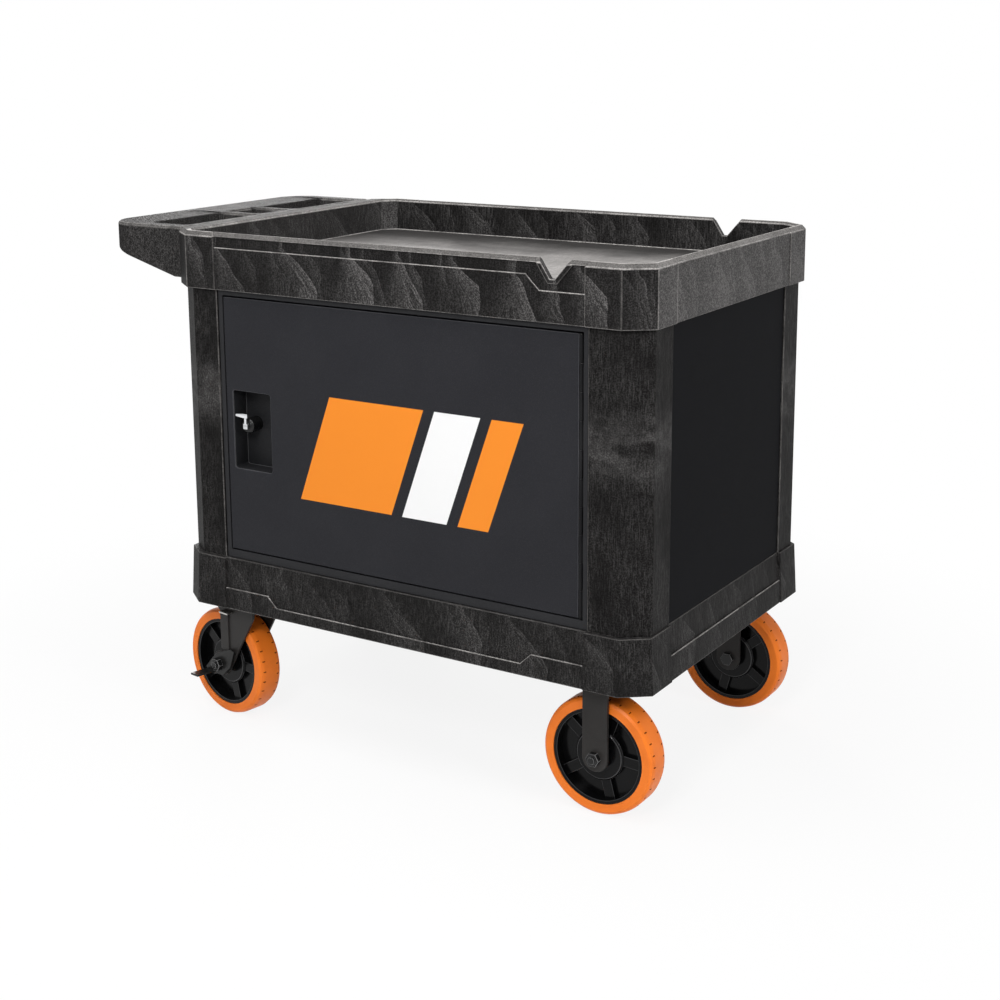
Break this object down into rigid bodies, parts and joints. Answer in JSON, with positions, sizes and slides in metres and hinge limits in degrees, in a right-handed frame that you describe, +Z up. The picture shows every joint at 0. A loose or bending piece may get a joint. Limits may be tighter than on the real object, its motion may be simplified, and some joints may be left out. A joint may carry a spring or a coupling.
{
  "type": "rolling job site chest",
  "caption": "Rolling job site chest: two moulded cart shelves joined by corner posts, closed by steel panels and a latching door, on orange-tyred swivel and rigid casters.",
  "frame": {"origin": "bottom centre of the bounding box, on the floor", "axes": "+X from the push handle's end to the rigid casters' end, -Y out of the door, +Z up"},
  "size_m": [1.158, 0.6587, 0.921],
  "materials": {
    "structural_foam": "structural foam with paler flow marks",
    "powder_coat": "dark slate powder coat",
    "zinc_plate": "bright zinc plate",
    "chrome_plate": "polished plate",
    "lock_black": "satin black",
    "black_fork": "black coated steel",
    "black_fastener": "black oxide",
    "hub_plastic": "moulded black core",
    "orange_tyre": "orange polyurethane"
  },
  "bodies": {
    "base": {"lower_shelf": "structural_foam", "upper_tray": "structural_foam", "push_handle": "structural_foam", "front_left_post": "structural_foam", "front_right_post": "structural_foam", "rear_left_post": "structural_foam", "rear_right_post": "structural_foam", "back_panel": "powder_coat", "left_end_panel": "powder_coat", "right_end_panel": "powder_coat", "door_frame": "powder_coat", "panel_screws": "zinc_plate", "frame_hinge_leaf": "zinc_plate", "hinge_pin": "zinc_plate", "caster_bolts": "zinc_plate", "front_rigid_fork": "black_fork", "front_rigid_axle": "black_fastener", "front_rigid_nut": "black_fastener", "front_rigid_sleeve": "zinc_plate", "front_swivel_plate": "black_fork", "front_swivel_race": "zinc_plate", "front_swivel_kingpin": "zinc_plate", "rear_rigid_fork": "black_fork", "rear_rigid_axle": "black_fastener", "rear_rigid_nut": "black_fastener", "rear_rigid_sleeve": "zinc_plate", "rear_swivel_plate": "black_fork", "rear_swivel_race": "zinc_plate", "rear_swivel_kingpin": "zinc_plate"},
    "door": {"door_skin": "powder_coat", "door_stiffener": "powder_coat", "latch_pocket": "powder_coat", "lock_body": "lock_black", "bolt_guides": "zinc_plate", "door_hinge_leaf": "zinc_plate"},
    "latch_lever": {"latch_handle": "chrome_plate", "latch_cam": "zinc_plate"},
    "latch_bolt": {"latch_bolt": "zinc_plate"},
    "front_swivel": {"front_swivel_fork": "black_fork", "front_swivel_axle": "black_fastener", "front_swivel_nut": "black_fastener", "front_swivel_sleeve": "zinc_plate", "front_lock_tab": "zinc_plate"},
    "front_swivel_wheel": {"front_swivel_hub": "hub_plastic", "front_swivel_tyre": "orange_tyre"},
    "front_rigid_wheel": {"front_rigid_hub": "hub_plastic", "front_rigid_tyre": "orange_tyre"},
    "front_brake": {"front_brake_lever": "black_fork"},
    "rear_swivel": {"rear_swivel_fork": "black_fork", "rear_swivel_axle": "black_fastener", "rear_swivel_nut": "black_fastener", "rear_swivel_sleeve": "zinc_plate", "rear_lock_tab": "zinc_plate"},
    "rear_swivel_wheel": {"rear_swivel_hub": "hub_plastic", "rear_swivel_tyre": "orange_tyre"},
    "rear_rigid_wheel": {"rear_rigid_hub": "hub_plastic", "rear_rigid_tyre": "orange_tyre"},
    "rear_brake": {"rear_brake_lever": "black_fork"}
  },
  "joints": [
    {"name": "door_hinge", "type": "hinge", "parent": "base", "child": "door", "pos_m": [0.458, -0.3135, 0.576], "axis": [0, 0, 1], "range_deg": [0, 150]},
    {"name": "latch_turn", "type": "hinge", "parent": "door", "child": "latch_lever", "pos_m": [-0.2285, -0.29, 0.57525], "axis": [0, 1, 0], "range_deg": [0, 90]},
    {"name": "latch_bolt_slide", "type": "slide", "parent": "door", "child": "latch_bolt", "axis": [-1, 0, 0], "range_m": [0, 0.0199]},
    {"name": "front_swivel_turn", "type": "hinge", "parent": "base", "child": "front_swivel", "pos_m": [-0.282, -0.26, 0.225], "axis": [0, 0, 1], "continuous": true},
    {"name": "front_swivel_wheel_spin", "type": "hinge", "parent": "front_swivel", "child": "front_swivel_wheel", "pos_m": [-0.32351, -0.25357, 0.1016], "axis": [-0.153, -0.9882, 0], "continuous": true},
    {"name": "front_rigid_wheel_spin", "type": "hinge", "parent": "base", "child": "front_rigid_wheel", "pos_m": [0.474, -0.26, 0.1016], "axis": [0, -1, 0], "continuous": true},
    {"name": "front_brake_press", "type": "hinge", "parent": "front_swivel", "child": "front_brake", "pos_m": [-0.32351, -0.25357, 0.1016], "axis": [-0.153, -0.9882, 0], "range_deg": [0, 20]},
    {"name": "rear_swivel_turn", "type": "hinge", "parent": "base", "child": "rear_swivel", "pos_m": [-0.282, 0.26, 0.225], "axis": [0, 0, 1], "continuous": true},
    {"name": "rear_swivel_wheel_spin", "type": "hinge", "parent": "rear_swivel", "child": "rear_swivel_wheel", "pos_m": [-0.32377, 0.25561, 0.1016], "axis": [-0.1045, 0.9945, 0], "continuous": true},
    {"name": "rear_rigid_wheel_spin", "type": "hinge", "parent": "base", "child": "rear_rigid_wheel", "pos_m": [0.474, 0.26, 0.1016], "axis": [0, 1, 0], "continuous": true},
    {"name": "rear_brake_press", "type": "hinge", "parent": "rear_swivel", "child": "rear_brake", "pos_m": [-0.32377, 0.25561, 0.1016], "axis": [0.1045, -0.9945, 0], "range_deg": [0, 20]}
  ],
  "couplings": [
    {"joint": "latch_bolt_slide", "follows": "latch_turn", "m_per_rad": 0.012604}
  ]
}
